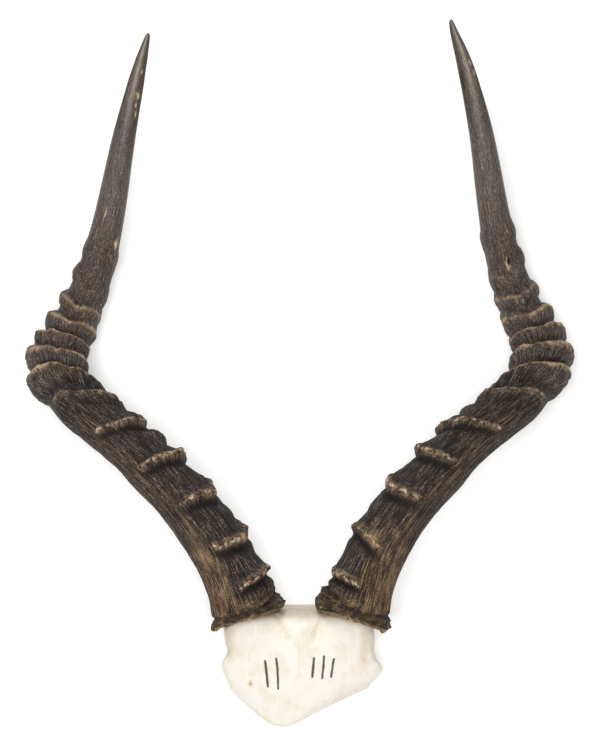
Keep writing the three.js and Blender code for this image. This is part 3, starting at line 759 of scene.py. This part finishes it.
def outsideHeight(x, y):
    # A plane that climbs from the nose to the crest, less a power of the distance from the midline at
    # the brows, less a steep slope behind the crest, and kept under the plane of each horn's base by a
    # rounded minimum, (p + q - sqrt((p - q)^2 + blend^2)) / 2. Both bends at the crest are rounded by
    # taking (d + sqrt(d^2 + round^2)) / 2 for the distance d past them.
    before = plate["crestY"] - y
    before = (before + np.sqrt(before**2 + plate["round"] ** 2)) / 2
    climb = np.clip(1 - before / (plate["crestY"] - plate["noseY"]), 0, 1)
    behind = y - plate["crestBackY"]
    behind = (behind + np.sqrt(behind**2 + plate["round"] ** 2)) / 2
    height = plate["noseHeight"] + (plate["crestHeight"] - plate["noseHeight"]) * climb
    height = height - plate["browDrop"] * climb**0.5 * np.abs(x / plate["browHalfWidth"]) ** 2.4
    height = height - plate["rearSlope"] * behind
    for (cx, cy), reach, high in plate["swells"]:
        height = height + high * bell(np.hypot(x - cx, y - cy), reach)
    for horn in horns.values():
        base, forward, outer, front = baseFrame(horn)
        seat = base[2] - ((x - base[0]) * forward[0] + (y - base[1]) * forward[1] + 0.25) / forward[2]
        spot = np.stack([x, y, seat], -1) - base
        degrees = np.degrees(np.arctan2(spot @ outer, spot @ front))
        raised = np.maximum(-np.interp(degrees, *zip(*horn["rim"]), period=360), 0)
        seat = seat + raised * smoothStep(8, 16, np.linalg.norm(spot, axis=-1)) / forward[2]
        rounded = (height + seat - np.sqrt((height - seat) ** 2 + plate["blend"] ** 2)) / 2
        share = smoothStep(7, 17, horn["side"] * x)
        height = height + (np.minimum(height, rounded) - height) * share
    return height


def skullPlate(name, material):
    # Polar sheets about a centre: place = centre + share (edge - centre), at the outside height above
    # and the hollows' height below, both meeting the edge; furrows, pits and a toothed suture are
    # bells of the distance to them, taken off the outside.
    outline, run = curveThrough(plate["outline"], closed=True)
    edge = along(outline, run, run[-1] * np.arange(plate["around"]) / plate["around"])
    centre = np.array(plate["centre"], float)
    edgeHeight = np.maximum(plate["leastEdge"], undersideHeight(edge[:, 0], edge[:, 1]))
    upper = 1 - (1 - np.linspace(0.008, 1, plate["topRows"])) ** 1.15
    under = np.linspace(1, 0.012, plate["underRows"])
    top = centre + upper[:, None, None] * (edge - centre)
    low = centre + under[:, None, None] * (edge - centre)
    x, y = top[..., 0], top[..., 1]

    # old stains: a band at the rear between the horns, the sides, pits and the suture, and a darker tan tint
    # along the furrows
    rear = smoothStep(-194, -186, y + 2.0 * noise(x / 6, 0.5, 0.5, 5))
    stain = plate["rearStain"] * rear * (1 - smoothStep(26, 34, np.abs(x)))
    sides = smoothStep(36, 50, np.abs(x)) * smoothStep(-218, -198, y)
    stain = np.maximum(stain, (0.2 + 0.16 * roughNoise(x / 2, y / 14, 0.5, 73, 2)) * sides)
    dent = 0.16 * roughNoise(x / 9, y / 9, 0.5, 71, 3) + 0.05 * roughNoise(x / 1.4, y / 3, 0.5, 75, 2)
    for start, end, wide, deep, tint in plate["furrows"]:
        off = segmentDistance(x, y, start, end) + 0.8 * noise(x / 3, y / 3, 0.5, 77)
        dent = dent - deep * bell(off, wide)
        stain = np.maximum(stain, tint * bell(off, wide * 1.1))
    for (cx, cy), radius, deep, tint in plate["pits"]:
        off = np.hypot(x - cx, (y - cy) * 0.85) * (1 + 0.25 * noise(x, y, 0.5, 79))
        dent = dent - deep * bell(off, radius) ** 2
        stain = np.maximum(stain, tint * bell(off, radius) ** 1.5)
    sutureX, low0, high0 = plate["suture"]
    tooth = 1.3 * noise(y / 1.1, 0.5, 0.5, 81) + 0.7 * noise(y / 3.7, 0.5, 0.5, 83)
    reach = smoothStep(low0 - 3, low0 + 4, y) * (1 - smoothStep(high0 - 4, high0 + 3, y))
    teeth = bell(x - sutureX - tooth, 0.55) * reach
    dent = dent - plate["sutureDepth"] * teeth
    seam = plate["toothStain"] * teeth + plate["sutureStain"] * bell(x - sutureX, 2.6)
    stain = np.maximum(stain, seam * reach)

    high = outsideHeight(x, y)
    roundOff = (1 - upper ** plate["edgeRoundness"])[:, None] ** 0.4
    z = edgeHeight + (np.maximum(high, 1) - edgeHeight) * roundOff
    z = np.minimum(z, np.maximum(high, 0.5)) + dent * roundOff
    lowZ = undersideHeight(low[..., 0], low[..., 1])
    rows = np.concatenate([np.dstack([top, z]), np.dstack([low, lowZ])])
    handX = x + 0.7 * noise(y / 7, x / 9, 0.5, 87)
    ink = np.min([segmentDistance(handX, y, *stroke) for stroke in plate["tally"]], axis=0)
    ink = ink - plate["penHalfWidth"] * (1 + 0.3 * noise(x / 2, y / 2, 0.5, 85))
    facts = {
        "stain": np.concatenate([stain, plate["sawnStain"] + 0.25 * smoothStep(1, 12, lowZ)]),
        "ink": np.concatenate([ink, np.full_like(lowZ, 9.0)]),
    }
    return closedGrid(name, rows, facts, material)


def rimSkin(name, horn, material):
    # A crumbly tube that lies under the lip's lower edge from one angle to another: its middle follows
    # the rim, and its radius is a thin thread plus clots where slow noise is high.
    scrap = {"from": -70, "to": 115, "steps": 420, "around": 14, "thread": 0.55, "clot": 1.5, "inset": 0.8}
    base, forward, outer, front = baseFrame(horn)
    degrees = np.linspace(scrap["from"], scrap["to"], scrap["steps"])
    a = np.radians(degrees)[:, None]
    radius = sheath["halfWidth"] + sheath["flare"] - scrap["inset"]
    outward = front * np.cos(a) + outer * np.sin(a)
    reach = np.interp(degrees, *zip(*horn["rim"]), period=360)[:, None]
    wander = 0.5 * noise(a * 9, 0.5, 0.5, horn["seed"] + 60)
    depth = front * np.cos(a) * radius * sheath["baseDepthRatio"] + outer * np.sin(a) * radius
    middle = base + depth * (1 - 0.015 * wander) - forward * (reach - 0.3 + wander)
    run = unit(np.gradient(middle, axis=0))
    side = unit(np.cross(run, outward))
    lumps = np.clip(roughNoise(a * 6, 0.5, 0.5, horn["seed"] + 62, 3), 0, 1)
    outerShare = smoothStep(35, 70, degrees)[:, None]
    ends = np.clip(np.minimum(degrees - scrap["from"], scrap["to"] - degrees) / 6, 0.05, 1)[:, None]
    size = (scrap["thread"] + scrap["clot"] * lumps * (0.35 + 0.65 * outerShare)) * ends
    turn = 2 * math.pi * np.arange(scrap["around"]) / scrap["around"]
    crumb = 1 + 0.35 * roughNoise(a * 22, 2 * np.cos(turn), 2 * np.sin(turn), horn["seed"] + 64, 2)
    tube = outward[:, None] * np.cos(turn)[None, :, None] + side[:, None] * np.sin(turn)[None, :, None]
    rows = middle[:, None] + tube * (size * crumb)[..., None]
    return closedGrid(name, rows, {}, material)


# The camera's aim, distance and frame height are in mm, its elevation in degrees. The floor and lights
# are in metres and watts.
view = {
    "aim": (3.15, -24.0, 94.2), "elevation": 70.5, "distance": 1800.0, "frameHeight": 525.0, "sensor": 24.0,
}
studio = {
    "floorReach": 3.0, "world": 0.32, "lightAim": (0, 0, 0.05),
    # name, place, size, power
    "lights": [("key", (-0.1, -0.75, 1.65), 1.0, 28), ("fill", (-0.4, 1.0, 1.2), 0.8, 8)],
}


def stageAndCamera():
    # The camera stands at aim + distance (0, -cos(elevation), sin(elevation)), and its lens is
    # sensor distance / frameHeight. Each square light is turned to face one spot on the object.
    elevation = math.radians(view["elevation"])
    camera = bpy.data.cameras.new("camera")
    camera.sensor_fit = "VERTICAL"
    camera.sensor_height = view["sensor"]
    camera.lens = view["sensor"] * view["distance"] / view["frameHeight"]
    stand = bpy.data.objects.new("camera", camera)
    back = view["distance"] * np.array([0, -math.cos(elevation), math.sin(elevation)])
    stand.location = (np.array(view["aim"]) + back) * mm
    stand.rotation_euler = (math.pi / 2 - elevation, 0, 0)
    bpy.context.scene.collection.objects.link(stand)
    bpy.context.scene.camera = stand

    # studio acrylic, cast and lit from beneath: matt white, so the eye sees hardly any shade on it
    settings = {
        "Base Color": "#ececeb", "Roughness": 0.9, "Specular IOR Level": 0.1,
        "Emission Color": "#ffffff", "Emission Strength": 0.28,
    }
    lightTable, _, _ = newMaterial("acrylic sheet, cast and lit from beneath", settings)
    mesh = bpy.data.meshes.new("floor")
    reach = studio["floorReach"]
    corners = [(-reach, -reach, 0), (reach, -reach, 0), (reach, reach, 0), (-reach, reach, 0)]
    mesh.from_pydata(corners, [], [(0, 1, 2, 3)])
    mesh.materials.append(lightTable)
    floor = bpy.data.objects.new("floor", mesh)
    bpy.context.scene.collection.objects.link(floor)

    world = bpy.data.worlds.new("soft studio")
    world.use_nodes = True
    background = world.node_tree.nodes["Background"]
    background.inputs["Color"].default_value = (1, 1, 1, 1)
    background.inputs["Strength"].default_value = studio["world"]
    bpy.context.scene.world = world
    for name, spot, size, power in studio["lights"]:
        light = bpy.data.lights.new(name, "AREA")
        light.size, light.energy = size, power
        lamp = bpy.data.objects.new(name, light)
        lamp.location = spot
        aim = np.array(studio["lightAim"]) - np.array(spot)
        tilt, turn = math.acos(-aim[2] / np.linalg.norm(aim)), math.atan2(aim[1], aim[0]) - math.pi / 2
        lamp.rotation_euler = (tilt, 0, turn)
        bpy.context.scene.collection.objects.link(lamp)
    bpy.context.scene.view_settings.view_transform = "Standard"


stageAndCamera()
print("stage, light and camera made")
keratin, bone, skin = keratinSheath(), bleachedBone(), driedSkin()
print("materials made")
for name, horn in horns.items():
    piece = hornSheath(name, horn, keratin)
    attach(piece, "root")
    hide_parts(horn["node"])
    scraps = rimSkin(name.replace("horn_sheath", "rim_skin"), horn, skin)
    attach(scraps, "root")
skull = skullPlate("skull_bone", bone)
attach(skull, "root")
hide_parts("skull_plate")
print("horns and skull plate made")
